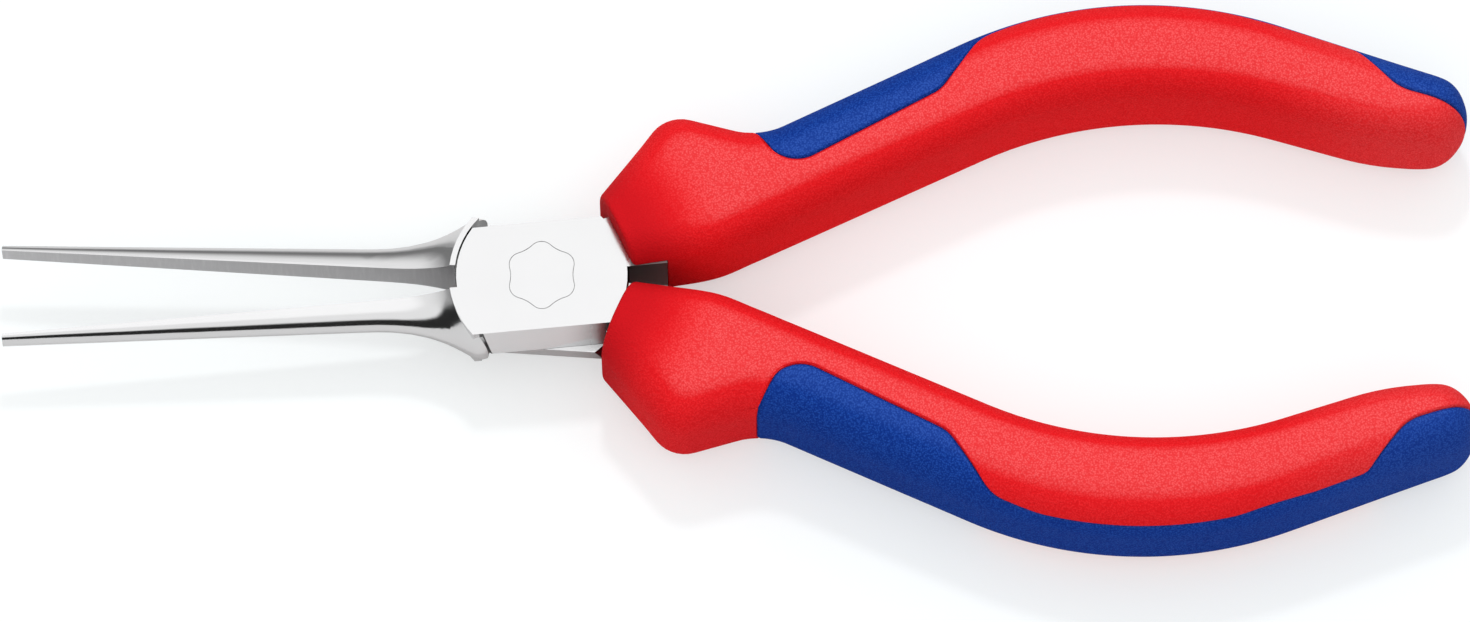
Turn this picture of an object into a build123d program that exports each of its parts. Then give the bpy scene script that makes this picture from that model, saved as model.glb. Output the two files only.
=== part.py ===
from build123d import *
import math
import os

# Needle-nose pliers lying on their side. Two forged levers cross in a lap joint, a rivet
# with a lobed head holds them, and each handle wears a sleeve with a soft inlay.
# Millimetres. X runs from the jaw tips (-) to the handle ends (+), Z along the rivet,
# and the origin is on the pivot axis, in the rear face of the joint.

# Jaws: widths go from the gripping face outwards, distances from the pivot
jaw_reach = 59.0
tip_width = 0.9
tip_thickness = 2.8
root_width = 2.7
root_thickness = 4.4
flare_start = 20.0
shoulder_peak = 7.9
shoulder_width = 6.7
shoulder_swell = 12.5
width_power = 2.6
swell_power = 3.8
shoulder_end = 6.0
shoulder_drop = 0.9
rim_radius = 10.1
rim_width = 6.1
jaw_relief = 0.5
taper_steps = 3
flare_steps = 10

# Lap joint
joint_thickness = 9.0
joint_radius = 9.3
shoulder_gap = 0.2
lap_gap = 0.05
waist_width = 13.9
waist_draft = 10.5

# Rivet
head_radius = 3.6
lobe_count = 6
lobe_height = 0.24
head_depth = 2.2
shank_radius = 2.6
tail_radius = 3.6
tail_depth = 1.2
rivet_gap = 0.05

# Handle line: an arm from the front of the sleeve, a bend, and a tail. Both lengths run
# to the corner where the lines of arm and tail cross.
sleeve_front = 9.55
arm_offset = 1.1
arm_angle = 18.3
arm_length = 59.7
bend_angle = 40.3
bend_radius = 50.0
tail_length = 39.3

# Tang inside the sleeve, and the steel stop beside the joint
tang_root_width = 4.4
tang_bend_width = 5.4
tang_end_width = 4.4
tang_root_thickness = 8.4
tang_end_thickness = 5.0
tang_tail_length = 26.0
tang_corner = 1.5
tang_overlap = 3.3
stop_gap = 0.2
stop_reach = 13.7
sleeve_fit = 0.05

# Sleeve: places along the handle line, and offsets to its outer and inner side
front_outer = 4.6
front_lean = 0.3
front_inner = 4.1
guard_distance = 10.3
guard_outer = 10.75
guard_radius = 3.8
neck_distance = 18.5
neck_outer = 4.2
neck_radius = 8.0
palm_outer = 5.9
palm_radius = 46.0
palm_inner = 5.05
belly_distance = 9.0
belly_inner = 6.4
belly_radius = 15.0
end_outer = 4.0
swell_distance = 30.0
swell_inner = 4.9
swell_radius = 12.0
end_inner = 2.8
end_radius = 3.8
end_flat = 0.1
sleeve_thickness = 16.4
edge_radius = 3.8

# Soft inlay: a pad on the arm, a strip round the bend and a pad on the tail
inlay_depth = 1.6
core_chamfer = 1.0
pad_start = 19.0
pad_step = 6.7
pad_start_offset = -1.75
pad_end_offset = -0.1
pad_corner = 3.8
pad_lean = 9.0
strip_lead = 14.7
strip_offset = 4.15
strip_radius = 38.0
strip_end = 25.2
strip_corner = 5.0
tail_pad_start = 31.4
tail_pad_offset = 0.45

# Angle between the levers as the tool lies in the photo
rest_opening = 9.3

half_joint = joint_thickness / 2
half_sleeve = sleeve_thickness / 2
strip_start = arm_length - strip_lead
pad_end = strip_start - pad_step

# The rounding of the handle end, and of all edges with it, is limited by the width of the end
end_width = end_outer + end_inner - end_flat
outer_lean = math.atan2(palm_outer - end_outer, tail_length)
inner_lean = math.atan2(swell_inner - end_inner, tail_length - swell_distance)
outer_share = math.tan((math.pi / 2 - outer_lean) / 2)
inner_share = math.tan((math.pi / 2 - inner_lean) / 2)
end_round = min(end_radius, end_width / (outer_share + inner_share))
edge_round = min(edge_radius, guard_radius, end_round)

along_arm = Vector(1, 0).rotate(Axis.Z, arm_angle)
across_arm = Vector(0, 1).rotate(Axis.Z, arm_angle)
along_tail = Vector(1, 0).rotate(Axis.Z, arm_angle - bend_angle)
across_tail = Vector(0, 1).rotate(Axis.Z, arm_angle - bend_angle)
half_bend = math.radians(bend_angle) / 2
across_bend = Vector(0, 1).rotate(Axis.Z, arm_angle - bend_angle / 2) / math.cos(half_bend)
arm_start = along_arm * sleeve_front + across_arm * arm_offset
bend_corner = arm_start + along_arm * arm_length


def on_arm(distance, offset):
    return arm_start + along_arm * distance + across_arm * offset


def on_bend(offset):
    return bend_corner + across_bend * offset


def on_tail(distance, offset):
    return bend_corner + along_tail * distance + across_tail * offset


def sleeve_blank(inset=0.0):
    """The outside of a sleeve, or the core left inside it by an inset all round."""
    with BuildPart() as blank:
        with BuildSketch(Plane.XY.offset(inset - half_sleeve)):
            with BuildLine():
                FilletPolyline(
                    on_arm(-front_lean, front_outer),
                    on_arm(guard_distance, guard_outer),
                    on_arm(neck_distance, neck_outer),
                    on_bend(palm_outer),
                    on_tail(tail_length, end_outer),
                    on_tail(tail_length, -end_inner),
                    on_tail(swell_distance, -swell_inner),
                    on_bend(-palm_inner),
                    on_arm(belly_distance, -belly_inner),
                    on_arm(0, -front_inner),
                    radius=(
                        0,
                        guard_radius,
                        neck_radius,
                        palm_radius,
                        end_round,
                        end_round,
                        swell_radius,
                        bend_radius - palm_inner,
                        belly_radius,
                        0,
                    ),
                    close=True,
                )
            make_face()
            if inset:
                offset(amount=-inset, kind=Kind.INTERSECTION)
        extrude(amount=sleeve_thickness - 2 * inset)
        ends = blank.faces().filter_by(Axis.Z)
        front = blank.faces().sort_by(Axis(origin=(0, 0, 0), direction=along_arm))[0]
        rims = ends.edges() - front.edges()
        if inset:
            chamfer(rims, core_chamfer)
        else:
            fillet(rims, edge_round)
    return blank.part


def tang_blank(spare=0.0):
    """The steel tang, or its cavity when there is room to spare."""
    root = tang_root_width / 2
    bend = tang_bend_width / 2
    end = tang_end_width / 2
    with BuildPart() as blank:
        with BuildSketch(Plane.XY.offset(-half_sleeve)):
            with BuildLine():
                FilletPolyline(
                    on_arm(-tang_overlap, root),
                    on_bend(bend),
                    on_tail(tang_tail_length, end),
                    on_tail(tang_tail_length, -end),
                    on_bend(-bend),
                    on_arm(-tang_overlap, -root),
                    radius=(0, bend_radius + bend, tang_corner, tang_corner, bend_radius - bend, 0),
                    close=True,
                )
            make_face()
            if spare:
                offset(amount=spare)
        extrude(amount=sleeve_thickness)
        thick = tang_root_thickness / 2 + spare
        thin = tang_end_thickness / 2 + spare
        tang_end = on_tail(tang_tail_length, 0).X
        sleeve_end = on_tail(tail_length, 0).X
        with BuildSketch(Plane.XZ):
            with BuildLine():
                Polyline(
                    (0, thick),
                    (stop_reach, thick),
                    (tang_end, thin),
                    (sleeve_end, thin),
                    (sleeve_end, -thin),
                    (tang_end, -thin),
                    (stop_reach, -thick),
                    (0, -thick),
                    close=True,
                )
            make_face()
        extrude(amount=arm_length, both=True, mode=Mode.INTERSECT)
    return blank.part


def jaw_size(distance, tip, root, shoulder, power):
    """A jaw's width or thickness at a distance from the pivot: a taper, then the flare."""
    slope = (root - tip) / (jaw_reach - flare_start)
    rise = max(0.0, flare_start - max(distance, shoulder_peak)) / (flare_start - shoulder_peak)
    flare = shoulder - tip - slope * (jaw_reach - shoulder_peak)
    return tip + slope * (jaw_reach - max(distance, shoulder_peak)) + flare * rise**power


def jaw_section(distance, relief):
    """One section of a jaw: an ellipse about the gripping plane, rounded off behind the shoulder."""
    past = max(0.0, shoulder_peak - distance) / (shoulder_peak - shoulder_end)
    width = jaw_size(distance, tip_width, root_width, shoulder_width, width_power)
    width -= shoulder_drop * past**2
    thickness = jaw_size(distance, tip_thickness, root_thickness, shoulder_swell, swell_power)
    middle = (-distance, -relief * (jaw_reach - distance), 0)
    with BuildSketch(Plane(origin=middle, x_dir=(0, 1, 0), z_dir=(1, 0, 0))) as section:
        with BuildLine():
            EllipticalCenterArc((0, 0), width, thickness / 2, 0, arc_size=180)
            EllipticalCenterArc((0, 0), width, thickness / 2, 180, arc_size=180)
        make_face()
    return section.sketch


def jaw_blank():
    """One half-round jaw below the gripping plane, with the shoulder that borders the joint."""
    relief = jaw_relief / (jaw_reach - joint_radius)
    along = Vector(1, -relief, 0).normalized()
    gripping_plane = Plane(origin=(-jaw_reach, 0, 0), x_dir=along, z_dir=(-along.Y, along.X, 0))
    taper_step = (jaw_reach - flare_start) / taper_steps
    flare_step = (flare_start - shoulder_end) / flare_steps
    taper = [jaw_section(jaw_reach - taper_step * step, relief) for step in range(taper_steps + 1)]
    flare = [jaw_section(flare_start - flare_step * step, relief) for step in range(flare_steps + 1)]
    with BuildPart() as blank:
        loft(taper, ruled=True)
        loft(flare)
        with BuildSketch(Plane.XY.offset(-half_joint)) as rim:
            Circle(rim_radius)
            with Locations((-shoulder_end, 0)):
                Rectangle(rim_radius, rim_width, align=(Align.MAX, Align.MAX), mode=Mode.INTERSECT)
            corner = rim.vertices().sort_by_distance((-shoulder_end, -rim_width))[0]
            fillet(corner, shoulder_drop)
        extrude(amount=joint_thickness)
        split(bisect_by=gripping_plane, keep=Keep.BOTTOM)
        split(bisect_by=Plane.XY.offset(half_joint), keep=Keep.BOTTOM)
        split(bisect_by=Plane.XY.offset(-half_joint), keep=Keep.TOP)
    return blank.part


def plate_blank():
    """The half-thick plate of one lever: a drafted waist between two arcs of the joint circle."""
    with BuildPart() as blank:
        with BuildSketch():
            Rectangle(jaw_reach, waist_width)
        extrude(amount=half_joint, taper=waist_draft)
        with BuildSketch(Plane.XY.offset(lap_gap / 2)):
            Circle(joint_radius)
        extrude(amount=joint_thickness, mode=Mode.INTERSECT)
    return blank.part


def lever_blank():
    """A lever with its jaw at -Y, its plate above Z = 0 and its tang at +Y."""
    tang_middle = on_arm((stop_reach - sleeve_front) / 2, 0)
    jaw = jaw_blank()
    tang = tang_blank()
    plate = plate_blank()
    with BuildPart() as blank:
        add(jaw)
        add(tang)
        with BuildSketch(Plane.XY.offset(-tang_root_thickness / 2)):
            with BuildLine():
                Polyline(
                    (arm_start.X - tang_overlap, stop_gap),
                    (stop_reach, stop_gap),
                    (stop_reach, tang_middle.Y),
                    (arm_start.X - tang_overlap, tang_middle.Y),
                    close=True,
                )
            make_face()
        extrude(amount=tang_root_thickness)
        with BuildSketch(Plane.XY.offset(lap_gap / 2)):
            Circle(joint_radius + shoulder_gap)
        extrude(amount=-joint_thickness, mode=Mode.SUBTRACT)
        add(plate)
    return blank.part


def head_point(quarter, spare):
    """A point on the wavy edge of the rivet head, counted in quarters of a lobe from +Y."""
    angle = math.tau * quarter / (4 * lobe_count)
    reach = head_radius + spare + lobe_height * math.cos(lobe_count * angle)
    return Vector(0, reach).rotate(Axis.Z, math.degrees(angle))


def rivet_blank(spare=0.0):
    """The rivet in its place in the joint, or the hole for it when there is room to spare."""
    wide = shank_radius + spare
    bottom = -spare
    top = joint_thickness + spare
    with BuildPart() as blank:
        with BuildSketch(Plane.XZ):
            with BuildLine():
                Polyline(
                    (0, bottom),
                    (tail_radius + spare, bottom),
                    (wide, tail_depth),
                    (wide, top),
                    (0, top),
                    close=True,
                )
            make_face()
        revolve(axis=Axis.Z)
        with BuildSketch(Plane.XY.offset(joint_thickness - head_depth - spare)):
            with BuildLine():
                for quarter in range(0, 4 * lobe_count, 2):
                    ThreePointArc(
                        head_point(quarter - 1, spare),
                        head_point(quarter, spare),
                        head_point(quarter + 1, spare),
                    )
            make_face()
        extrude(amount=head_depth + 2 * spare)
    return blank.part


def inlay_room(core):
    """Everything within the outline of the soft inlay and outside the core of the sleeve."""
    far = 2 * guard_outer
    past_end = 2 * tail_length
    with BuildPart() as room:
        with BuildSketch(Plane.XY.offset(-sleeve_thickness)):
            with BuildLine():
                FilletPolyline(
                    on_arm(pad_start, pad_start_offset),
                    on_arm(pad_end, pad_end_offset),
                    on_arm(strip_start, strip_offset),
                    on_bend(strip_offset),
                    on_tail(strip_end, strip_offset),
                    on_tail(tail_pad_start, tail_pad_offset),
                    on_tail(past_end, tail_pad_offset),
                    on_tail(past_end, far),
                    on_bend(far),
                    on_arm(pad_start - far * math.tan(math.radians(pad_lean)), far),
                    radius=(
                        pad_corner,
                        pad_corner,
                        strip_corner,
                        strip_radius,
                        strip_corner,
                        strip_corner,
                        0,
                        0,
                        0,
                        0,
                    ),
                    close=True,
                )
            make_face()
        extrude(amount=2 * sleeve_thickness)
        add(core, mode=Mode.SUBTRACT)
    return room.part


def hollow_sleeve(whole, soft_room):
    """The hard sleeve without its inlay, its tang cavity and the notch for the stop."""
    cavity = tang_blank(sleeve_fit)
    with BuildPart() as blank:
        add(whole)
        add(soft_room, mode=Mode.SUBTRACT)
        add(cavity, mode=Mode.SUBTRACT)
        with BuildSketch(Plane.XY.offset(-tang_root_thickness / 2 - sleeve_fit)):
            with BuildLine():
                Polyline(
                    (0, -guard_outer),
                    (stop_reach + sleeve_fit, -guard_outer),
                    (stop_reach + sleeve_fit, arm_start.Y),
                    (0, arm_start.Y),
                    close=True,
                )
            make_face()
        extrude(amount=tang_root_thickness + 2 * sleeve_fit, mode=Mode.SUBTRACT)
    return blank.part


def inlay_blank(whole, soft_room):
    """The soft inlay, flush with the outside of the sleeve."""
    with BuildPart() as blank:
        add(whole)
        add(soft_room, mode=Mode.INTERSECT)
    return blank.part


lift = Pos(0, 0, half_joint)
front_place = lift * Rot(0, 0, rest_opening / 2)
rear_place = lift * Rot(0, 0, -rest_opening / 2) * Rot(180, 0, 0)
whole_sleeve = sleeve_blank()
soft_room = inlay_room(sleeve_blank(inlay_depth))
lever_shape = lever_blank()
sleeve_shape = hollow_sleeve(whole_sleeve, soft_room)
inlay_shape = inlay_blank(whole_sleeve, soft_room)
rivet_hole = rivet_blank(rivet_gap)
rivet_shape = rivet_blank()

with BuildPart() as front_lever:
    add(lever_shape.moved(front_place))
    add(rivet_hole, mode=Mode.SUBTRACT)
front_lever.part.label = "front_lever"

with BuildPart() as rear_lever:
    add(lever_shape.moved(rear_place))
    add(rivet_hole, mode=Mode.SUBTRACT)
rear_lever.part.label = "rear_lever"

with BuildPart() as rivet:
    add(rivet_shape)
rivet.part.label = "rivet"

with BuildPart() as front_sleeve:
    add(sleeve_shape.moved(front_place))
front_sleeve.part.label = "front_sleeve"

with BuildPart() as rear_sleeve:
    add(sleeve_shape.moved(rear_place))
rear_sleeve.part.label = "rear_sleeve"

with BuildPart() as front_inlay:
    add(inlay_shape.moved(front_place))
front_inlay.part.label = "front_inlay"

with BuildPart() as rear_inlay:
    add(inlay_shape.moved(rear_place))
rear_inlay.part.label = "rear_inlay"

os.makedirs("parts", exist_ok=True)
export_step(front_lever.part, "parts/front_lever.step")
export_step(rear_lever.part, "parts/rear_lever.step")
export_step(rivet.part, "parts/rivet.step")
export_step(front_sleeve.part, "parts/front_sleeve.step")
export_step(rear_sleeve.part, "parts/rear_sleeve.step")
export_step(front_inlay.part, "parts/front_inlay.step")
export_step(rear_inlay.part, "parts/rear_inlay.step")
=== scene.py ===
import math

import bmesh
import bpy
import numpy as np
from mathutils import Matrix, Vector
from mathutils.kdtree import KDTree


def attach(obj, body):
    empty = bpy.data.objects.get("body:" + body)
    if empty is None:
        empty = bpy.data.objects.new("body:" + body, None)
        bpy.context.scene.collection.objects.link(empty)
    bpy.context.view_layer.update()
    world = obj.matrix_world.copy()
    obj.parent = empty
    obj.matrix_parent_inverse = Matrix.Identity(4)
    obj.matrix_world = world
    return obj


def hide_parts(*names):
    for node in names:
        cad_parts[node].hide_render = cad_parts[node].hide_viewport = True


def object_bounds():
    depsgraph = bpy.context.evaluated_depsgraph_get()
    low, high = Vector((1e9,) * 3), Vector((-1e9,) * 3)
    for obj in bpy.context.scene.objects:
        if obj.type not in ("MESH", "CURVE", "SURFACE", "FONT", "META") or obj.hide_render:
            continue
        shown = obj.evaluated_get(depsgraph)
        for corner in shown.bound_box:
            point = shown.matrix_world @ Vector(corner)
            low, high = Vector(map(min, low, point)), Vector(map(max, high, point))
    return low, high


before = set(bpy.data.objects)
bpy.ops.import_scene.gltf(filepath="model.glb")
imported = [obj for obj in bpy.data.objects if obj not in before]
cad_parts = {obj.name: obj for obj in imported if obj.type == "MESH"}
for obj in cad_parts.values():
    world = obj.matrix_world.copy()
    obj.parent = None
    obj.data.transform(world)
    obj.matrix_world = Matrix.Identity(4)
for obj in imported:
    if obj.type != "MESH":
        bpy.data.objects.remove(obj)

# lengths are in metres, by way of mm, and angles in degrees
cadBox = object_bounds()
mm = 0.001
tiny = 1e-12    # keeps a division from zero
print("frame loaded:", ", ".join(sorted(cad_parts)))

# both halves are drawn closed, lying along X with the lap plane at Z = 0,
# then turned by half the opening and lifted to the middle of the joint
jointSizes = {
    "thickness": 9.0 * mm,
    "restOpening": 9.3,
}


def halfPlace(side):
    lift = Matrix.Translation((0, 0, jointSizes["thickness"] / 2))
    turn = Matrix.Rotation(math.radians(side * jointSizes["restOpening"] / 2), 4, "Z")
    flip = Matrix.Rotation(math.pi, 4, "X") if side < 0 else Matrix.Identity(4)
    return lift @ turn @ flip


halves = {
    "front": {"body": "front_half", "place": halfPlace(1)},
    "rear": {"body": "rear_half", "place": halfPlace(-1)},
}


# shader maths: a wire wraps one socket, and sums of wires add their Math nodes
class Wire:
    def __init__(self, tree, socket=None):
        self.tree = tree
        self.socket = socket

    def node(self, kind, settings, sockets, out=0):
        made = self.tree.nodes.new(kind)
        for name, value in settings.items():
            setattr(made, name, value)
        for name, value in sockets.items():
            if isinstance(value, Wire):
                self.tree.links.new(value.socket, made.inputs[name])
            else:
                made.inputs[name].default_value = value
        return Wire(self.tree, made.outputs[out] if len(made.outputs) else None)

    def math(self, operation, first, second=0.0):
        return self.node("ShaderNodeMath", {"operation": operation}, {0: first, 1: second})

    def __add__(self, other):
        return self.math("ADD", self, other)

    def __radd__(self, other):
        return self.math("ADD", other, self)

    def __sub__(self, other):
        return self.math("SUBTRACT", self, other)

    def __rsub__(self, other):
        return self.math("SUBTRACT", other, self)

    def __mul__(self, other):
        return self.math("MULTIPLY", self, other)

    def __rmul__(self, other):
        return self.math("MULTIPLY", other, self)

    def rise(self, low, high):
        settings = {"interpolation_type": "SMOOTHSTEP"}
        return self.node("ShaderNodeMapRange", settings, {"Value": self, 1: low, 2: high})


def newFinish(name):
    material = bpy.data.materials.new(name)
    material.use_nodes = True
    material.node_tree.nodes.clear()
    return material, Wire(material.node_tree)


def objectPlace(start, scale=(1, 1, 1), turn=(0, 0, 0)):
    place = start.node("ShaderNodeTexCoord", {}, {}, "Object")
    return start.node("ShaderNodeMapping", {}, {"Vector": place, "Scale": scale, "Rotation": turn})


def axisOf(start, vector, axis):
    return start.node("ShaderNodeSeparateXYZ", {}, {"Vector": vector}, axis)


def fromPivot(start, place):
    level = start.node(
        "ShaderNodeVectorMath", {"operation": "MULTIPLY"}, {0: place, 1: (1, 1, 0)})
    return start.node("ShaderNodeVectorMath", {"operation": "LENGTH"}, {0: level}, "Value")


def mixColours(start, share, first, second):
    return start.node("ShaderNodeMix", {"data_type": "RGBA"}, {0: share, 6: first, 7: second}, 2)


def noise(start, place, scale, detail, rough=0.5):
    sockets = {"Vector": place, "Scale": scale, "Detail": detail, "Roughness": rough}
    return start.node("ShaderNodeTexNoise", {}, sockets, 0)


def dress(piece, material):
    piece.data.materials.clear()
    piece.data.materials.append(material)


# moulded grips: a pebbled leather grain, lighter on its high spots, under a painted sheen that is
# strongest on the up-facing broad faces and at the handle ends, with painted shade near the joint
grainSizes = {
    "pebble": 0.21 * mm, "pebbleHeight": 1.1, "smoothness": 0.35,
    "wander": 0.5,                      # how far a pebble strays, in pebbles
    "pore": 0.12 * mm, "poreHeight": 0.45, "poreDetail": 1.0,
    "cloud": 9.0 * mm, "cloudDetail": 3.0, "cloudShare": 0.2,
    "depth": 0.05 * mm,
    "peak": (0.45, 1.15),               # heights where the low skin turns to the high one
    "broad": (0.82, 1.0),               # slopes where a wall turns to a broad face
    "sheenLow": 0.25, "sheenHigh": 0.52,
    "sheenFromPivot": (13.5 * mm, 21.5 * mm),  # from the pivot: the painted sheen fades out towards the tips of the guards
    # from the pivot: where the painted shade near the joint gives way
    "guardShade": (11.0 * mm, 18.5 * mm),
    # painted sheen: a least share all over, and more towards the handle ends
    "ends": (80.0 * mm, 96.0 * mm), "leastSheen": 0.10, "endSheen": 0.45,
    "cloudRough": 0.12, "peakRough": 0.06,
}
# in both grip tables below, the third colour is a painted sheen and the fourth a painted shade near
# the joint
hardGrip = {
    "deep": (0.76, 0.006, 0.010, 1), "high": (0.92, 0.015, 0.021, 1),
    "paintedSheen": (0.91, 0.142, 0.146, 1), "guardShade": (0.60, 0.008, 0.013, 1),
    "rough": 0.78, "gloss": 0.04,
}
softGrip = {
    "deep": (0.003, 0.026, 0.225, 1), "high": (0.016, 0.083, 0.440, 1),
    "paintedSheen": (0.035, 0.098, 0.430, 1), "guardShade": (0.003, 0.026, 0.225, 1),
    "rough": 0.80, "gloss": 0.03,
}


def grainedFinish(name, finish):
    g = grainSizes
    material, start = newFinish(name)
    place = objectPlace(start)
    facing = start.node("ShaderNodeTexCoord", {}, {}, "Normal")
    reach = fromPivot(start, place)
    flat = start.math("ABSOLUTE", axisOf(start, facing, "Z"))
    # painted sheen: on up-facing broad faces away from the joint, a least share everywhere and more
    # at the handle ends
    broad = flat.rise(*g["broad"]) * reach.rise(*g["sheenFromPivot"])
    ends = reach.rise(*g["ends"]) * g["endSheen"] + g["leastSheen"]
    sheenShare = start.math("MAXIMUM", broad, ends)
    wander = start.node(
        "ShaderNodeTexNoise", {}, {"Vector": place, "Scale": g["wander"] / g["pebble"]}, "Color")
    bent = start.node(
        "ShaderNodeVectorMath", {"operation": "MULTIPLY_ADD"},
        {0: wander, 1: (g["wander"] * g["pebble"],) * 3, 2: place})
    pebble = start.node(
        "ShaderNodeTexVoronoi", {"feature": "SMOOTH_F1"},
        {"Vector": bent, "Scale": 1 / g["pebble"], "Smoothness": g["smoothness"]}, "Distance")
    pore = noise(start, place, 1 / g["pore"], g["poreDetail"])
    cloud = noise(start, place, 1 / g["cloud"], g["cloudDetail"])
    grain = 1 - pebble * g["pebbleHeight"] + pore * g["poreHeight"]
    peak = grain.rise(*g["peak"])
    bump = start.node(
        "ShaderNodeBump", {}, {"Height": grain, "Distance": g["depth"], "Strength": 1.0})
    mottle = peak * (1 - g["cloudShare"]) + cloud * g["cloudShare"]
    skin = mixColours(start, mottle, finish["deep"], finish["high"])
    # the painted sheen lightens most the high spots of the grain
    sheenAmount = sheenShare * (g["sheenLow"] + peak * g["sheenHigh"])
    sheened = mixColours(start, sheenAmount, skin, finish["paintedSheen"])
    # painted shade darkens the grip near the joint
    colour = mixColours(start, reach.rise(*g["guardShade"]), finish["guardShade"], sheened)
    shader = start.node("ShaderNodeBsdfPrincipled", {}, {
        "Base Color": colour,
        "Roughness": finish["rough"] + (cloud - 0.5) * g["cloudRough"] - peak * g["peakRough"],
        "Specular IOR Level": finish["gloss"],
        "Normal": bump,
    })
    start.node("ShaderNodeOutputMaterial", {}, {"Surface": shader})
    return material


hardGripFinish = grainedFinish("hardGrip", hardGrip)
softGripFinish = grainedFinish("softGrip", softGrip)

# steel: plated and polished lengthways on the jaws, ground on the flat faces, scratched
# crossways on the gripping faces and dull on the tangs, with painted shade on the walls
# towards the sleeves and in the gap of the lap
steelSizes = {
    "bright": (0.76, 0.76, 0.765, 1), "cloudy": (0.70, 0.70, 0.705, 1),
    # the dull colour is the tangs' own finish and also painted shade on the walls near the sleeves
    "scratched": (0.58, 0.58, 0.59, 1), "dullAndShade": (0.28, 0.285, 0.285, 1),
    # painted shade for the gap of the lap
    "gapShade": (0.02, 0.02, 0.02, 1),
    "polish": (22.0 * mm, 0.12 * mm), "ground": (6.0 * mm, 0.10 * mm),  # streaks: long, wide
    "scratch": (0.30 * mm, 4.5 * mm), "streakDetail": 2.0, "streakRough": 0.6,
    "cloud": 6.0 * mm, "cloudDetail": 3.0, "cloudShare": 0.6,
    "flat": (0.985, 0.999), "gripping": (0.985, 0.995), "upright": (0.25, 0.75),   # slopes
    "jaw": (9.0 * mm, 10.0 * mm),       # where the gripping faces start
    "shade": (2.0 * mm, 8.5 * mm),      # where walls take painted shade
    "tang": (9.45 * mm, 9.75 * mm),
    "gapInside": (9.20 * mm, 9.28 * mm), "gapOutside": (9.52 * mm, 9.60 * mm),
    "rough": 0.08, "polishRough": 0.08, "flatRough": 0.03, "tangRough": 0.3,
    "gripRough": 0.16, "scratchRough": 0.2, "scratchShare": 0.5,
    "polishHeight": 0.25, "groundHeight": 0.35, "depth": 0.012 * mm, "strength": 0.6,
    "weld": 0.0005 * mm, "sharpAngle": 25,
    "edge": 0.09 * mm, "edgeAngle": 30, "edgeSteps": 2,
}


def streaks(start, size, turn):
    along, across = size
    place = objectPlace(start, (1 / along, 1 / across, 1 / across), (0, 0, turn))
    return noise(start, place, 1.0, steelSizes["streakDetail"], steelSizes["streakRough"])


def steelFinish(name, turn):
    k = steelSizes
    material, start = newFinish(name)
    place = start.node("ShaderNodeTexCoord", {}, {}, "Object")
    facing = start.node("ShaderNodeTexCoord", {}, {}, "Normal")
    along = axisOf(start, place, "X")
    radius = fromPivot(start, place)
    slope = start.math("ABSOLUTE", axisOf(start, facing, "Z"))
    flat = slope.rise(*k["flat"])
    upright = 1 - slope.rise(*k["upright"])
    inward = axisOf(start, facing, "Y") * (1 if turn > 0 else -1)
    gripping = inward.rise(*k["gripping"]) * (-1 * along).rise(*k["jaw"])
    # painted shade: walls darken towards the sleeves in place of their dark reflection, joined
    # below with the tangs' own dull finish
    shade = along.rise(*k["shade"]) * (1 - flat)
    tang = start.math("MAXIMUM", shade, along.rise(*k["tang"]))
    # painted shade: upright faces go dark in the gap of the lap
    gap = upright * radius.rise(*k["gapInside"]) * (1 - radius.rise(*k["gapOutside"]))
    polish = streaks(start, k["polish"], -turn)
    ground = streaks(start, k["ground"], -turn)
    scratch = streaks(start, k["scratch"], -turn)
    cloud = noise(start, place, 1 / k["cloud"], k["cloudDetail"])
    rough = k["rough"] + polish * k["polishRough"] + flat * k["flatRough"] + tang * k["tangRough"]
    scored = gripping * (k["gripRough"] + scratch * k["scratchRough"])
    polished = polish * (1 - flat) * (1 - gripping) * k["polishHeight"]
    height = polished + ground * flat * k["groundHeight"] + scratch * gripping
    bump = start.node(
        "ShaderNodeBump", {}, {"Height": height, "Distance": k["depth"], "Strength": k["strength"]})
    plated = mixColours(start, cloud * k["cloudShare"], k["bright"], k["cloudy"])
    worked = mixColours(start, gripping * (k["scratchShare"] + scratch), plated, k["scratched"])
    # dull tangs, and painted shade on the walls near the sleeves
    dulledAndShaded = mixColours(start, tang, worked, k["dullAndShade"])
    colour = mixColours(start, gap, dulledAndShaded, k["gapShade"])
    shader = start.node("ShaderNodeBsdfPrincipled", {}, {
        "Base Color": colour,
        "Metallic": 1.0,
        "Roughness": rough + scored,
        "Normal": bump,
    })
    start.node("ShaderNodeOutputMaterial", {}, {"Surface": shader})
    return material


halfTurn = math.radians(jointSizes["restOpening"] / 2)
frontSteel = steelFinish("platedSteelFront", halfTurn)
rearSteel = steelFinish("platedSteelRear", -halfTurn)
rivetSteel = steelFinish("rivetSteel", halfTurn)
print("finishes made")

# the handle line: an arm, a bend and a tail, with lengths to the corner of arm and tail
handleLine = {
    "sleeveFront": 9.55 * mm,
    "armOffset": 1.1 * mm,
    "armAngle": 18.3,
    "armLength": 59.7 * mm,
    "bendAngle": 40.3,
    "bendRadius": 50.0 * mm,
    "tailLength": 39.28 * mm,
}


def heading(angle):
    return np.array((math.cos(math.radians(angle)), math.sin(math.radians(angle))))


armAngle = handleLine["armAngle"]
tailAngle = armAngle - handleLine["bendAngle"]
halfBend = math.radians(handleLine["bendAngle"] / 2)
armStart = heading(armAngle) * handleLine["sleeveFront"]
armStart = armStart + heading(armAngle + 90) * handleLine["armOffset"]
bendCorner = armStart + heading(armAngle) * handleLine["armLength"]
bendLead = handleLine["bendRadius"] * math.tan(halfBend)
armRun = handleLine["armLength"] - bendLead
bendRun = handleLine["bendRadius"] * 2 * halfBend
handleRun = armRun + bendRun + handleLine["tailLength"] - bendLead


def onArm(distance, offset):
    return armStart + heading(armAngle) * distance + heading(armAngle + 90) * offset


def onBend(offset):
    return bendCorner + heading((armAngle + tailAngle) / 2 + 90) * offset / math.cos(halfBend)


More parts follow.
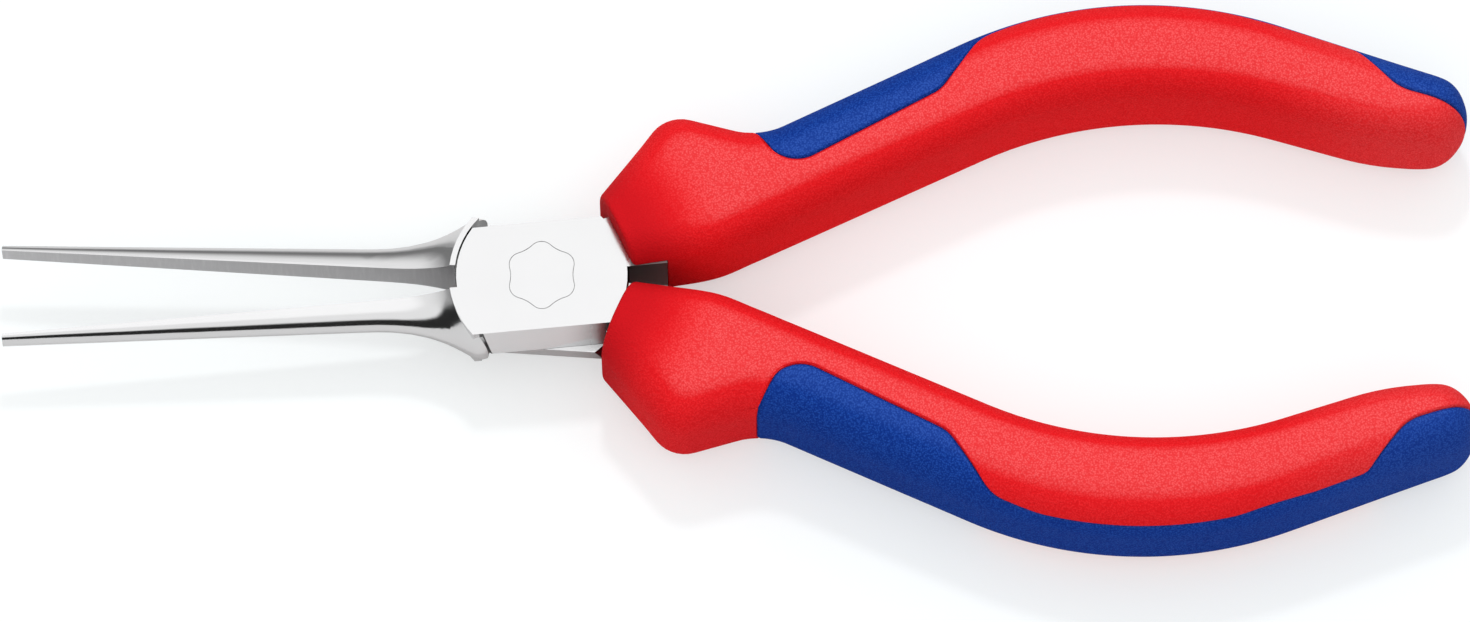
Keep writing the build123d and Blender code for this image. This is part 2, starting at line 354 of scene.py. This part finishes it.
def onTail(distance, offset):
    return bendCorner + heading(tailAngle) * distance + heading(tailAngle + 90) * offset


def onLine(run):
    # a point of the handle line and its heading there
    if run < armRun:
        return onArm(run, 0), armAngle
    if run < armRun + bendRun:
        angle = armAngle - math.degrees((run - armRun) / handleLine["bendRadius"])
        centre = onArm(armRun, -handleLine["bendRadius"])
        return centre + heading(angle + 90) * handleLine["bendRadius"], angle
    return onTail(run - armRun - bendRun + bendLead, 0), tailAngle


def roundedPath(corners, radii):
    # straight runs with tangent arcs at the corners, as a dense open path
    step = 0.1 * mm
    path = [corners[0]]
    for before, corner, after, radius in zip(corners, corners[1:], corners[2:], radii):
        back = (before - corner) / np.linalg.norm(before - corner)
        ahead = (after - corner) / np.linalg.norm(after - corner)
        half = math.acos(np.clip(back @ ahead, -1, 1)) / 2
        middle = (back + ahead) / np.linalg.norm(back + ahead)
        centre = corner + middle * radius / math.sin(half)
        first = corner + back * radius / math.tan(half) - centre
        last = corner + ahead * radius / math.tan(half) - centre
        sweep = math.pi - 2 * half
        count = max(2, math.ceil(radius * sweep / step))
        for share in np.linspace(0, 1, count):
            mixed = first * math.sin((1 - share) * sweep) + last * math.sin(share * sweep)
            path.append(centre + mixed / math.sin(sweep))
    path.append(corners[-1])
    return np.array(path)


def crossings(path, run):
    # offsets at which the path crosses the line square to the handle
    point, angle = onLine(run)
    ahead = (path - point) @ heading(angle)
    offset = (path - point) @ heading(angle + 90)
    hit = np.nonzero(ahead[:-1] * ahead[1:] <= 0)[0]
    share = ahead[hit] / (ahead[hit] - ahead[hit + 1] + tiny)
    return offset[hit] + share * (offset[hit + 1] - offset[hit])


# the sleeve: a finger guard near the joint, a slim neck, a swell round the bend
sleeveSizes = {
    "frontOuter": 4.6 * mm, "frontLean": 0.3 * mm, "frontInner": 4.1 * mm,
    "guardDistance": 10.3 * mm, "guardOuter": 10.70 * mm, "guardRadius": 3.8 * mm,
    "neckDistance": 18.5 * mm, "neckOuter": 4.2 * mm, "neckRadius": 8.0 * mm,
    "palmOuter": 5.88 * mm, "palmRadius": 46.0 * mm, "palmInner": 5.05 * mm,
    "bellyDistance": 9.0 * mm, "bellyInner": 6.4 * mm, "bellyRadius": 15.0 * mm,
    "swellDistance": 30.0 * mm, "swellInner": 4.9 * mm, "swellRadius": 30.0 * mm,
    "endOuter": 4.0 * mm, "endInner": 2.8 * mm, "endRadius": 3.8 * mm,
    "halfThickness": 8.19 * mm,
    "outerRound": (5.6 * mm, 5.0 * mm),     # rounding from the flat to the wall, across and down
    "innerRound": (3.4 * mm, 3.8 * mm),
    "roundLimit": 0.94,         # most of a section's half that the rounding takes
    "squareness": 2.2,          # power of that rounding, 2 is an ellipse
    "crown": 0.70 * mm,         # how much the flat falls away to the wall
    "crownLimit": 0.09,         # and the most of the height that it may take
    "dome": 5.2 * mm,           # length of the rounded handle end
    "domePower": 2.4,
    "rim": 0.45 * mm,           # rounding of the front edge
    "leanRun": 6.0 * mm,        # where the lean of the front edge has faded out
    "lead": 2.0 * mm,           # how far the outlines run on past the front
    "flatPoints": 12, "roundPoints": 60, "ringPoints": 84,
}

# the soft inlay: a pad on the arm, a strip round the bend and a pad on the tail
inlaySizes = {
    "depth": 1.2 * mm, "play": 0.04 * mm,
    "padStart": 19.0 * mm, "padEnd": 38.3 * mm, "padLean": 9.0,
    "padStartOffset": -1.75 * mm, "padEndOffset": -0.1 * mm, "padCorner": 3.8 * mm,
    "stripStart": 45.0 * mm, "stripOffset": 4.4 * mm, "stripRadius": 38.0 * mm,
    "stripEnd": 25.2 * mm, "stripCorner": 5.0 * mm,
    "tailPadStart": 31.4 * mm, "tailPadOffset": 0.45 * mm,
    "wall": 0.5 * mm, "wallLimit": 0.125,   # strip of a section left to the pad before it starts
    "fullDepth": 3.0,           # section height, in depths, below which the inlay thins out
    "grooveDepth": 0.36 * mm, "grooveWidth": 0.36 * mm,
    "ringPoints": 48,
}


def sleeveOutlines():
    s = sleeveSizes
    tail = handleLine["tailLength"]
    lead = s["lead"]
    slope = (s["guardOuter"] - s["frontOuter"]) / (s["guardDistance"] + s["frontLean"])
    outer = roundedPath(
        (
            onArm(-s["frontLean"] - lead, s["frontOuter"] - slope * lead),
            onArm(s["guardDistance"], s["guardOuter"]),
            onArm(s["neckDistance"], s["neckOuter"]),
            onBend(s["palmOuter"]),
            onTail(tail, s["endOuter"]),
            onTail(tail, 0),
        ),
        (s["guardRadius"], s["neckRadius"], s["palmRadius"], s["endRadius"]))
    slope = (s["bellyInner"] - s["frontInner"]) / s["bellyDistance"]
    inner = roundedPath(
        (
            onArm(-lead, -s["frontInner"] + slope * lead),
            onArm(s["bellyDistance"], -s["bellyInner"]),
            onBend(-s["palmInner"]),
            onTail(s["swellDistance"], -s["swellInner"]),
            onTail(tail, -s["endInner"]),
            onTail(tail, 0),
        ),
        (
            s["bellyRadius"], handleLine["bendRadius"] - s["palmInner"],
            s["swellRadius"], s["endRadius"],
        ))
    return outer, inner


def inlayOutline():
    n = inlaySizes
    far = 2 * sleeveSizes["guardOuter"]
    lean = far * math.tan(math.radians(n["padLean"]))
    return roundedPath(
        (
            onArm(n["padStart"] - lean, far),
            onArm(n["padStart"], n["padStartOffset"]),
            onArm(n["padEnd"], n["padEndOffset"]),
            onArm(n["stripStart"], n["stripOffset"]),
            onBend(n["stripOffset"]),
            onTail(n["stripEnd"], n["stripOffset"]),
            onTail(n["tailPadStart"], n["tailPadOffset"]),
            onTail(2 * handleLine["tailLength"], n["tailPadOffset"]),
        ),
        (
            n["padCorner"], n["padCorner"], n["stripCorner"],
            n["stripRadius"], n["stripCorner"], n["stripCorner"],
        ))


def superArc(count, power):
    turn = np.linspace(0, math.pi / 2, count)
    return np.sin(turn) ** (2 / power), np.cos(turn) ** (2 / power)


def sectionQuarter(half, height, rounding):
    # a crowned flat, its rounding and the wall, from the middle of the top down to mid height
    s = sleeveSizes
    across = min(rounding[0], s["roundLimit"] * half)
    down = min(rounding[1], s["roundLimit"] * height)
    out, up = superArc(s["roundPoints"], s["squareness"])
    flat = np.linspace(0, half - across, s["flatPoints"])[:-1]
    x = np.concatenate((flat, half - across + across * out, (half,)))
    z = np.concatenate((height + 0 * flat, height - down + down * up, (0,)))
    fall = min(s["crown"], s["crownLimit"] * height)
    return np.stack((x, np.maximum(0, z - fall * (x / half) ** 2)), 1)


def sectionRing(outer, inner, height):
    # one section, from the inner side over the top to the outer side and back below
    half = (outer - inner) / 2
    innerSide = sectionQuarter(half, height, sleeveSizes["innerRound"])
    outerSide = sectionQuarter(half, height, sleeveSizes["outerRound"])
    top = np.concatenate((innerSide[::-1] * (-1, 1), outerSide))
    ring = np.concatenate((top, top[::-1] * (1, -1)))
    ring[:, 0] += (outer + inner) / 2
    closest = 1e-6 * mm
    keep = np.linalg.norm(np.diff(ring, axis=0, append=ring[:1]), axis=1) > closest
    return ring[keep]


def resample(path, count):
    # evenly along the path, but closer together near both ends
    crowd = 0.7
    length = np.concatenate(((0,), np.cumsum(np.linalg.norm(np.diff(path, axis=0), axis=1))))
    even = np.linspace(0, 1, count)
    share = even - crowd * np.sin(2 * math.pi * even) / (2 * math.pi)
    return np.stack([np.interp(share * length[-1], length, path[:, axis]) for axis in (0, 1)], 1)


def splitRing(ring, edge):
    # the part of a ring inside the inlay's edge, and the part outside it
    count = len(ring)
    edge = min(edge, ring[:, 0].max() - 1e-4 * mm)
    rolled = np.roll(ring, -np.argmin(ring[:, 0]), axis=0)
    outside = np.nonzero(rolled[:, 0] > edge)[0]
    first, last = outside[0], outside[-1]

    def cut(before, after):
        share = (edge - before[0]) / (after[0] - before[0])
        return before + share * (after - before)

    start = cut(rolled[first - 1], rolled[first])
    end = cut(rolled[(last + 1) % count], rolled[last])
    soft = np.concatenate((start[None], rolled[first:last + 1], end[None]))
    hard = np.concatenate((end[None], rolled[last + 1:], rolled[:first], start[None]))
    return hard, soft


def sunk(path, depth):
    # the path of a ring moved towards its inside
    ahead = np.gradient(path, axis=0)
    normal = np.stack((ahead[:, 1], -ahead[:, 0]), 1)
    length = np.linalg.norm(normal, axis=1, keepdims=True)
    return path + normal / np.maximum(length, tiny) * depth


def padFront(outerPath, edgePath):
    # the run at which the inlay's edge comes in over the outer side
    step = 0.02 * mm
    for run in np.arange(0, inlaySizes["padStart"], step):
        if min(crossings(edgePath, run), default=1.0) < max(crossings(outerPath, run)):
            return run


# places of the sections along the handle, closest at the rim, the pad's start and the dome,
# whose last ring lies a small angle, in radians, before its point
stationSizes = {
    "rimRings": 8, "domeRings": 30, "domeStart": 0.1,
    "guardStep": 0.6 * mm, "rimGap": 0.5 * mm, "padGap": 0.4 * mm,
    "padStep": 0.15 * mm, "padLength": 8.0 * mm, "padBrink": 0.01 * mm,
    "palmStep": 0.55 * mm, "domeGap": 0.3 * mm,
}


def handleStations(padRun):
    t = stationSizes
    rimTurn = np.linspace(0, math.pi / 2, t["rimRings"])
    domeTurn = np.linspace(t["domeStart"], math.pi / 2, t["domeRings"])
    rim = sleeveSizes["rim"] * (1 - np.cos(rimTurn))
    dome = sleeveSizes["dome"] * (1 - np.cos(domeTurn))
    palmRun = padRun + t["padLength"]
    domeRun = handleRun - sleeveSizes["dome"]
    return np.unique(np.concatenate((
        rim,
        np.arange(rim[-1] + t["rimGap"], padRun - t["padGap"], t["guardStep"]),
        (padRun - t["padBrink"],),
        np.arange(padRun + t["padBrink"], palmRun, t["padStep"]),
        np.arange(palmRun, domeRun - t["domeGap"], t["palmStep"]),
        handleRun - dome[::-1],
    )))


def gripSections():
    # for each station: its run, the hard ring, the soft ring and the share of the inlay's depth
    outerPath, innerPath = sleeveOutlines()
    edgePath = inlayOutline()
    padRun = padFront(outerPath, edgePath)
    power = sleeveSizes["domePower"]
    sections = []
    for run in handleStations(padRun):
        outer = max(crossings(outerPath, run))
        inner = max(c for c in crossings(innerPath, run) if c < 0)
        edges = [c for c in crossings(edgePath, run) if c < outer]
        fromEnd = min(1.0, (handleRun - run) / sleeveSizes["dome"])
        height = sleeveSizes["halfThickness"] * (1 - (1 - fromEnd) ** power) ** (1 / power)
        ring = sectionRing(outer, inner, height)
        fromFront = min(1.0, run / sleeveSizes["rim"])
        inset = sleeveSizes["rim"] * (1 - math.sqrt(1 - (1 - fromFront) ** 2))
        if inset:
            closed = np.concatenate((ring[-1:], ring, ring[:1]))
            ring = sunk(closed, inset)[1:-1]
        wall = outer - min(inlaySizes["wall"], (outer - inner) * inlaySizes["wallLimit"])
        hard, soft = splitRing(ring, min(edges + [wall - inset]))
        hard = resample(hard, sleeveSizes["ringPoints"])
        soft = resample(soft, inlaySizes["ringPoints"])
        full = inlaySizes["fullDepth"] * inlaySizes["depth"]
        reach = min(1.0, height / full) if run > padRun else 0.0
        sections.append((run, hard, soft, reach))
    return sections


def liftRing(run, ring):
    # ring offsets to points in space, with the lean of the front edge faded out
    point, angle = onLine(run)
    fade = max(0.0, 1 - run / sleeveSizes["leanRun"])
    span = sleeveSizes["frontOuter"] + sleeveSizes["frontInner"]
    lean = sleeveSizes["frontLean"] * (ring[:, :1] + sleeveSizes["frontInner"]) / span * fade
    flat = point + ring[:, :1] * heading(angle + 90) - lean * heading(angle)
    return np.concatenate((flat, ring[:, 1:]), 1)


def tubeFaces(rows, columns):
    faces = []
    for low in range(0, (rows - 1) * columns, columns):
        for column in range(columns):
            right = (column + 1) % columns
            faces.append((low + column, low + columns + column, low + columns + right, low + right))
    return faces


def groovePoints(points, normals, edgePoints):
    # a fine groove along the line where the two plastics meet
    tree = KDTree(len(edgePoints))
    for index, point in enumerate(edgePoints):
        tree.insert(point, index)
    tree.balance()
    away = np.array([tree.find(point)[2] for point in points]) / inlaySizes["grooveWidth"]
    sink = inlaySizes["grooveDepth"] * np.clip(1 - away, 0, 1) ** 2
    return points - normals * sink[:, None]


def gridNormals(grid):
    along = np.gradient(grid, axis=0)
    around = np.gradient(grid, axis=1)
    normal = np.cross(along, around)
    length = np.linalg.norm(normal, axis=2, keepdims=True)
    return (normal / np.maximum(length, tiny)).reshape(-1, 3)


# how a moulded mesh is cleaned and shaded
mouldSizes = {
    "weld": 0.004 * mm, "sliver": 0.002 * mm, "sharpAngle": 35,
}


def meshPiece(name, points, faces, place):
    mesh = bpy.data.meshes.new(name)
    mesh.from_pydata([tuple(p) for p in points], [], faces)
    shape = bmesh.new()
    shape.from_mesh(mesh)
    bmesh.ops.remove_doubles(shape, verts=shape.verts, dist=mouldSizes["weld"])
    bmesh.ops.dissolve_degenerate(shape, dist=mouldSizes["sliver"], edges=shape.edges)
    bmesh.ops.holes_fill(shape, edges=shape.edges, sides=0)
    bmesh.ops.recalc_face_normals(shape, faces=shape.faces)
    shape.to_mesh(mesh)
    shape.free()
    mesh.transform(place)
    piece = bpy.data.objects.new(name, mesh)
    bpy.context.scene.collection.objects.link(piece)
    smoothPiece(piece)
    return piece


def smoothPiece(piece):
    piece.data.polygons.foreach_set("use_smooth", [True] * len(piece.data.polygons))
    piece.data.set_sharp_from_angle(angle=math.radians(mouldSizes["sharpAngle"]))


def cutPiece(piece, cutters):
    for cutter in cutters:
        cut = piece.modifiers.new("cut", "BOOLEAN")
        cut.operation = "DIFFERENCE"
        cut.solver = "EXACT"
        cut.object = cutter
    graph = bpy.context.evaluated_depsgraph_get()
    mesh = bpy.data.meshes.new_from_object(piece.evaluated_get(graph))
    piece.modifiers.clear()
    piece.data = mesh
    for cutter in cutters:
        bpy.data.objects.remove(cutter)
    smoothPiece(piece)


# the tang inside the sleeve and the steel stop that shows in a notch at its front
tangSizes = {
    "rootWidth": 4.4 * mm, "bendWidth": 5.4 * mm, "endWidth": 4.4 * mm,
    "rootThickness": 8.4 * mm, "endThickness": 5.0 * mm, "tailLength": 26.0 * mm,
    "stopReach": 13.7 * mm, "fit": 0.1 * mm, "lead": 4.0 * mm, "rings": 60,
}


def tangCutter(place):
    t = tangSizes
    tangRun = armRun + bendRun + t["tailLength"] - bendLead + t["fit"]
    bendMiddle = armRun + bendRun / 2
    widths = (t["rootWidth"], t["bendWidth"], t["endWidth"])
    runs = np.concatenate(((-t["lead"],), np.linspace(0, tangRun, t["rings"])))
    points = []
    for run in runs:
        point, angle = onLine(run)
        width = np.interp(run, (0, bendMiddle, tangRun), widths)
        thick = np.interp(run, (0, tangRun), (t["rootThickness"], t["endThickness"]))
        half = width / 2 + t["fit"]
        deep = thick / 2 + t["fit"]
        for offset, z in ((-half, -deep), (half, -deep), (half, deep), (-half, deep)):
            flat = point + heading(angle + 90) * offset
            points.append((flat[0], flat[1], z))
    return meshPiece("tangCutter", points, tubeFaces(len(runs), 4), place)


def stopCutter(place):
    t = tangSizes
    deep = t["rootThickness"] / 2 + t["fit"]
    right = t["stopReach"] + t["fit"]
    low = -sleeveSizes["guardOuter"]
    corners = ((0, low), (right, low), (right, armStart[1]), (0, armStart[1]))
    points = [(x, y, z) for z in (-deep, deep) for x, y in corners]
    return meshPiece("stopCutter", points, tubeFaces(2, len(corners)), place)


def buildGrip(half):
    place = halves[half]["place"]
    runs, hardRings, softRings, reaches = zip(*gripSections())
    depth = inlaySizes["depth"]
    hard = np.array([liftRing(*pair) for pair in zip(runs, hardRings)])
    soft = np.array([liftRing(*pair) for pair in zip(runs, softRings)])
    pocket, back = (
        np.array([
            liftRing(run, sunk(ring, sink * reach))
            for run, ring, reach in zip(runs, softRings, reaches)])
        for sink in (depth, depth - inlaySizes["play"]))
    inlaid = np.array(reaches) > 0
    rows, hardColumns = hard.shape[:2]
    softColumns = soft.shape[1]
    skin = soft[inlaid]
    edgePoints = np.concatenate((skin[:, 0], skin[:, -1], skin[0]))

    hardSkin = groovePoints(hard.reshape(-1, 3), gridNormals(hard), edgePoints)
    hardGrid = np.concatenate((hardSkin.reshape(hard.shape), pocket), axis=1)
    sleeve = meshPiece(
        half + "_sleeve_moulded", hardGrid.reshape(-1, 3),
        tubeFaces(rows, hardColumns + softColumns), place)
    cutPiece(sleeve, [tangCutter(place), stopCutter(place)])
    dress(sleeve, hardGripFinish)

    softSkin = groovePoints(skin.reshape(-1, 3), gridNormals(skin), edgePoints)
    softGrid = np.concatenate((softSkin.reshape(skin.shape), back[inlaid][:, ::-1]), axis=1)
    inlay = meshPiece(
        half + "_inlay_moulded", softGrid.reshape(-1, 3),
        tubeFaces(len(skin), 2 * softColumns), place)
    dress(inlay, softGripFinish)

    for piece, node, slot in ((sleeve, "_sleeve", "hard_grip"), (inlay, "_inlay", "soft_grip")):
        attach(piece, halves[half]["body"])
        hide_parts(half + node)
        print(piece.name, len(piece.data.polygons), "faces")


for half in halves:
    buildGrip(half)


# steel nodes keep their mesh: modifiers join its triangles, shade it smooth and break its edges
def smoothingTree():
    tree = bpy.data.node_groups.new("smoothSteel", "GeometryNodeTree")
    tree.interface.new_socket("Geometry", in_out="INPUT", socket_type="NodeSocketGeometry")
    tree.interface.new_socket("Geometry", in_out="OUTPUT", socket_type="NodeSocketGeometry")
    entry = tree.nodes.new("NodeGroupInput")
    leave = tree.nodes.new("NodeGroupOutput")
    merge = tree.nodes.new("GeometryNodeMergeByDistance")
    merge.inputs["Distance"].default_value = steelSizes["weld"]
    faces = tree.nodes.new("GeometryNodeSetShadeSmooth")
    edges = tree.nodes.new("GeometryNodeSetShadeSmooth")
    edges.domain = "EDGE"
    angle = tree.nodes.new("GeometryNodeInputMeshEdgeAngle")
    blunt = tree.nodes.new("FunctionNodeCompare")
    blunt.operation = "LESS_THAN"
    blunt.inputs[1].default_value = math.radians(steelSizes["sharpAngle"])
    tree.links.new(entry.outputs[0], merge.inputs["Geometry"])
    tree.links.new(merge.outputs[0], faces.inputs["Geometry"])
    tree.links.new(faces.outputs[0], edges.inputs["Geometry"])
    tree.links.new(angle.outputs["Unsigned Angle"], blunt.inputs[0])
    tree.links.new(blunt.outputs[0], edges.inputs["Shade Smooth"])
    tree.links.new(edges.outputs[0], leave.inputs[0])
    return tree


smoothSteel = smoothingTree()
steelPieces = {"front_lever": frontSteel, "rear_lever": rearSteel, "rivet": rivetSteel}
for name, finish in steelPieces.items():
    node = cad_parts[name]
    dress(node, finish)
    node.modifiers.new("smooth", "NODES").node_group = smoothSteel
    edge = node.modifiers.new("edge", "BEVEL")
    edge.width = steelSizes["edge"]
    edge.segments = steelSizes["edgeSteps"]
    edge.limit_method = "ANGLE"
    edge.angle_limit = math.radians(steelSizes["edgeAngle"])
    edge.harden_normals = True
print("steel dressed")

# the stage: a white table under a bright ceiling, a lamp behind, and a dim room in front
stageSizes = {
    "tableSize": 6.0,
    "tableColour": (0.88, 0.88, 0.88, 1),
    "seenColour": (0.47, 0.50, 0.505, 1), "seenGlow": 0.52,         # the table to the eye
    "mirroredColour": (0.74, 0.74, 0.74, 1),                        # and in the steel,
    "farColour": (0.38, 0.38, 0.38, 1), "farRise": (0.02, 0.09),    # greyer behind the tool
    "lampPlace": (0.0, 0.446, 0.84), "lampSize": 0.10, "lampPower": 2.0,
    "fillPlace": (0.0, -0.45, 0.74), "fillSize": 0.70, "fillPower": 1.1,
    "ceiling": 1.26, "backWall": 0.28, "frontWall": 0.03,
    "frontSide": (-0.05, 0.30),             # where the room's back turns to its front
    "backRise": (0.18, 0.84), "frontRise": (0.46, 0.60),    # heights where a wall turns to ceiling
    "overhead": 0.30, "overheadRise": (0.84, 0.95),
}


def paperFinish():
    material, start = newFinish("paperTable")
    matte = start.node("ShaderNodeBsdfDiffuse", {}, {"Color": stageSizes["tableColour"]})
    shaded = start.node("ShaderNodeBsdfDiffuse", {}, {"Color": stageSizes["seenColour"]})
    glow = start.node("ShaderNodeEmission", {}, {"Strength": stageSizes["seenGlow"]})
    pale = start.node("ShaderNodeAddShader", {}, {0: shaded, 1: glow})
    place = start.node("ShaderNodeTexCoord", {}, {}, "Object")
    behind = axisOf(start, place, "Y").rise(*stageSizes["farRise"])
    fading = mixColours(start, behind, stageSizes["mirroredColour"], stageSizes["farColour"])
    dim = start.node("ShaderNodeBsdfDiffuse", {}, {"Color": fading})
    camera = start.node("ShaderNodeLightPath", {}, {}, "Is Camera Ray")
    mirrored = start.node("ShaderNodeLightPath", {}, {}, "Is Glossy Ray")
    unseen = start.node("ShaderNodeMixShader", {}, {0: mirrored, 1: matte, 2: dim})
    shader = start.node("ShaderNodeMixShader", {}, {0: camera, 1: unseen, 2: pale})
    start.node("ShaderNodeOutputMaterial", {}, {"Surface": shader})
    return material


def buildTable():
    size = stageSizes["tableSize"] / 2
    low = cadBox[0][2]
    points = [(-size, -size, low), (size, -size, low), (size, size, low), (-size, size, low)]
    mesh = bpy.data.meshes.new("paper_table")
    mesh.from_pydata(points, [], [(0, 1, 2, 3)])
    table = bpy.data.objects.new("paper_table", mesh)
    bpy.context.scene.collection.objects.link(table)
    dress(table, paperFinish())


def addLight(name, place, target, size, power):
    data = bpy.data.lights.new(name, "AREA")
    data.shape = "DISK"
    data.size = size
    data.energy = power
    light = bpy.data.objects.new(name, data)
    light.location = place
    light.rotation_euler = (Vector(target) - Vector(place)).to_track_quat("-Z", "Y").to_euler()
    bpy.context.scene.collection.objects.link(light)
    return light


def buildRoom():
    world = bpy.data.worlds.new("studio")
    world.use_nodes = True
    world.node_tree.nodes.clear()
    bpy.context.scene.world = world
    start = Wire(world.node_tree)
    place = start.node("ShaderNodeTexCoord", {}, {}, "Generated")
    height = axisOf(start, place, "Z")
    front = (-1 * axisOf(start, place, "Y")).rise(*stageSizes["frontSide"])
    backWall = stageSizes["backWall"]
    frontWall = stageSizes["frontWall"]
    ceiling = stageSizes["ceiling"]
    backLight = backWall + (ceiling - backWall) * height.rise(*stageSizes["backRise"])
    frontLight = frontWall + (ceiling - frontWall) * height.rise(*stageSizes["frontRise"])
    overhead = stageSizes["overhead"] * height.rise(*stageSizes["overheadRise"])
    light = backLight + front * (frontLight - backLight) + overhead
    seen = start.node("ShaderNodeLightPath", {}, {}, "Is Camera Ray")
    shader = start.node("ShaderNodeBackground", {}, {"Strength": light + seen * (1 - light)})
    start.node("ShaderNodeOutputWorld", {}, {"Surface": shader})


def buildLights():
    middle = (Vector(cadBox[0]) + Vector(cadBox[1])) / 2
    lamp = middle + Vector(stageSizes["lampPlace"])
    fill = middle + Vector(stageSizes["fillPlace"])
    lights = (
        addLight("lamp", lamp, middle, stageSizes["lampSize"], stageSizes["lampPower"]),
        addLight("fill", fill, middle, stageSizes["fillSize"], stageSizes["fillPower"]),
    )
    for light in lights:
        light.visible_glossy = False    # the steel mirrors the room alone


# the camera stands at the photo's height, far off on a long lens
cameraView = {
    "elevation": 71.0,
    "roll": 0.81,
    "pixelsPerMetre": 9.19 / mm,
    "imageWidth": 1470, "imageHeight": 622,
    "pivotPixel": (542.5, 288.5),
    "distance": 1.6, "sensorWidth": 36.0, "clipStart": 0.05,
}


def buildCamera():
    view = cameraView
    tilt = math.radians(view["elevation"])
    roll = math.radians(view["roll"])
    ahead = Vector((0, math.cos(tilt), -math.sin(tilt)))
    level = Vector((1, 0, 0))
    rising = Vector((0, math.sin(tilt), math.cos(tilt)))
    right = level * math.cos(roll) - rising * math.sin(roll)
    up = level * math.sin(roll) + rising * math.cos(roll)
    scale = view["pixelsPerMetre"]
    pivot = Vector((0, 0, jointSizes["thickness"] / 2))
    aside = (view["imageWidth"] / 2 - view["pivotPixel"][0]) / scale
    below = (view["imageHeight"] / 2 - view["pivotPixel"][1]) / scale
    target = pivot + right * aside - up * below
    place = target - ahead * view["distance"]
    turn = Matrix((right, up, -ahead)).transposed()
    data = bpy.data.cameras.new("camera")
    data.sensor_fit = "HORIZONTAL"
    data.sensor_width = view["sensorWidth"]
    data.lens = data.sensor_width * view["distance"] * scale / view["imageWidth"]
    data.clip_start = view["clipStart"]
    camera = bpy.data.objects.new("camera", data)
    camera.matrix_world = Matrix.Translation(place) @ turn.to_4x4()
    bpy.context.scene.collection.objects.link(camera)
    bpy.context.scene.camera = camera


buildTable()
buildRoom()
buildLights()
buildCamera()
bpy.context.scene.view_settings.view_transform = "Standard"
print("stage set")
